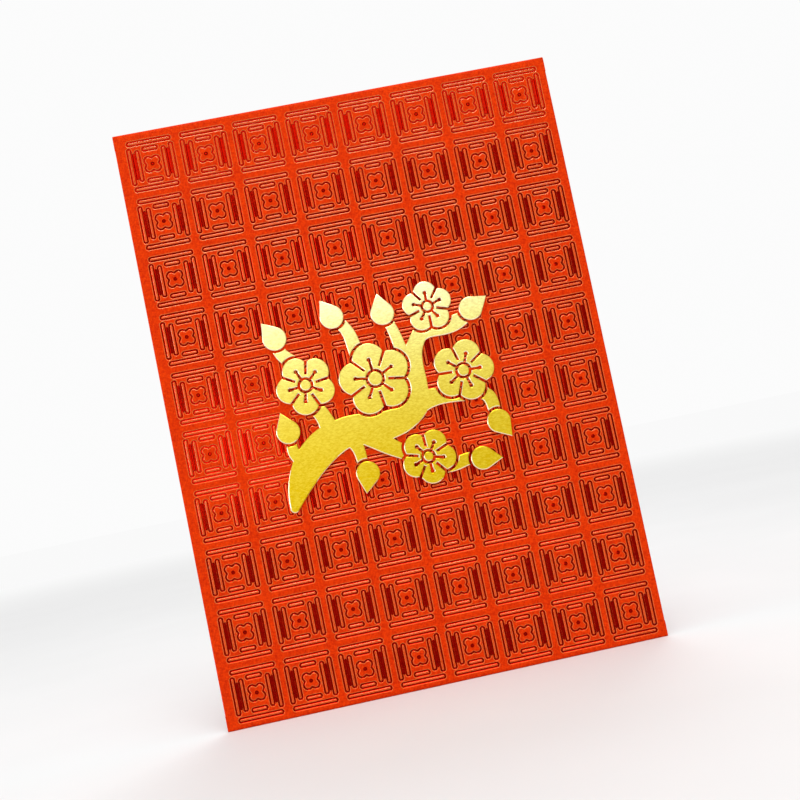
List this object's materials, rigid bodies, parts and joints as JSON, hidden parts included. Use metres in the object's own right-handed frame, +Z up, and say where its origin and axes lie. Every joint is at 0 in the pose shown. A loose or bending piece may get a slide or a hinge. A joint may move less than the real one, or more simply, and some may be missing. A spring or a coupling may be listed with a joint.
{
  "type": "red envelope",
  "caption": "Folded paper gift-money packet with glued side flaps, a thumb-notched back, a hinged closing flap and a foil-stamped front.",
  "frame": {"origin": "centre of the packet's footprint, on the surface that its bottom crease stands on", "axes": "+Z up the packet's height, +X across its width to the right seen from the front, +Y out of its back; the stamped front faces -Y"},
  "size_m": [0.085, 0.0016, 0.115],
  "materials": {
    "red_card": "matte vermilion card",
    "glue_film": "dried clear glue",
    "red_foil": "red metallised stamping foil",
    "gold_foil": "gold metallised stamping foil, fine grain"
  },
  "bodies": {
    "packet": {"front_panel": "red_card", "left_side_flap": "red_card", "right_side_flap": "red_card", "back_panel": "red_card", "left_crease": "red_card", "right_crease": "red_card", "bottom_crease": "red_card", "top_crease": "red_card", "left_glue_strip": "glue_film", "right_glue_strip": "glue_film", "red_foil_lattice": "red_foil", "gold_blossom_sprig": "gold_foil"},
    "flap": {"closing_flap": "red_card"}
  },
  "joints": [
    {"name": "flap_fold", "type": "hinge", "parent": "packet", "child": "flap", "pos_m": [0, 0.00015, 0.11432], "axis": [1, 0, 0], "range_deg": [0, 180]}
  ]
}
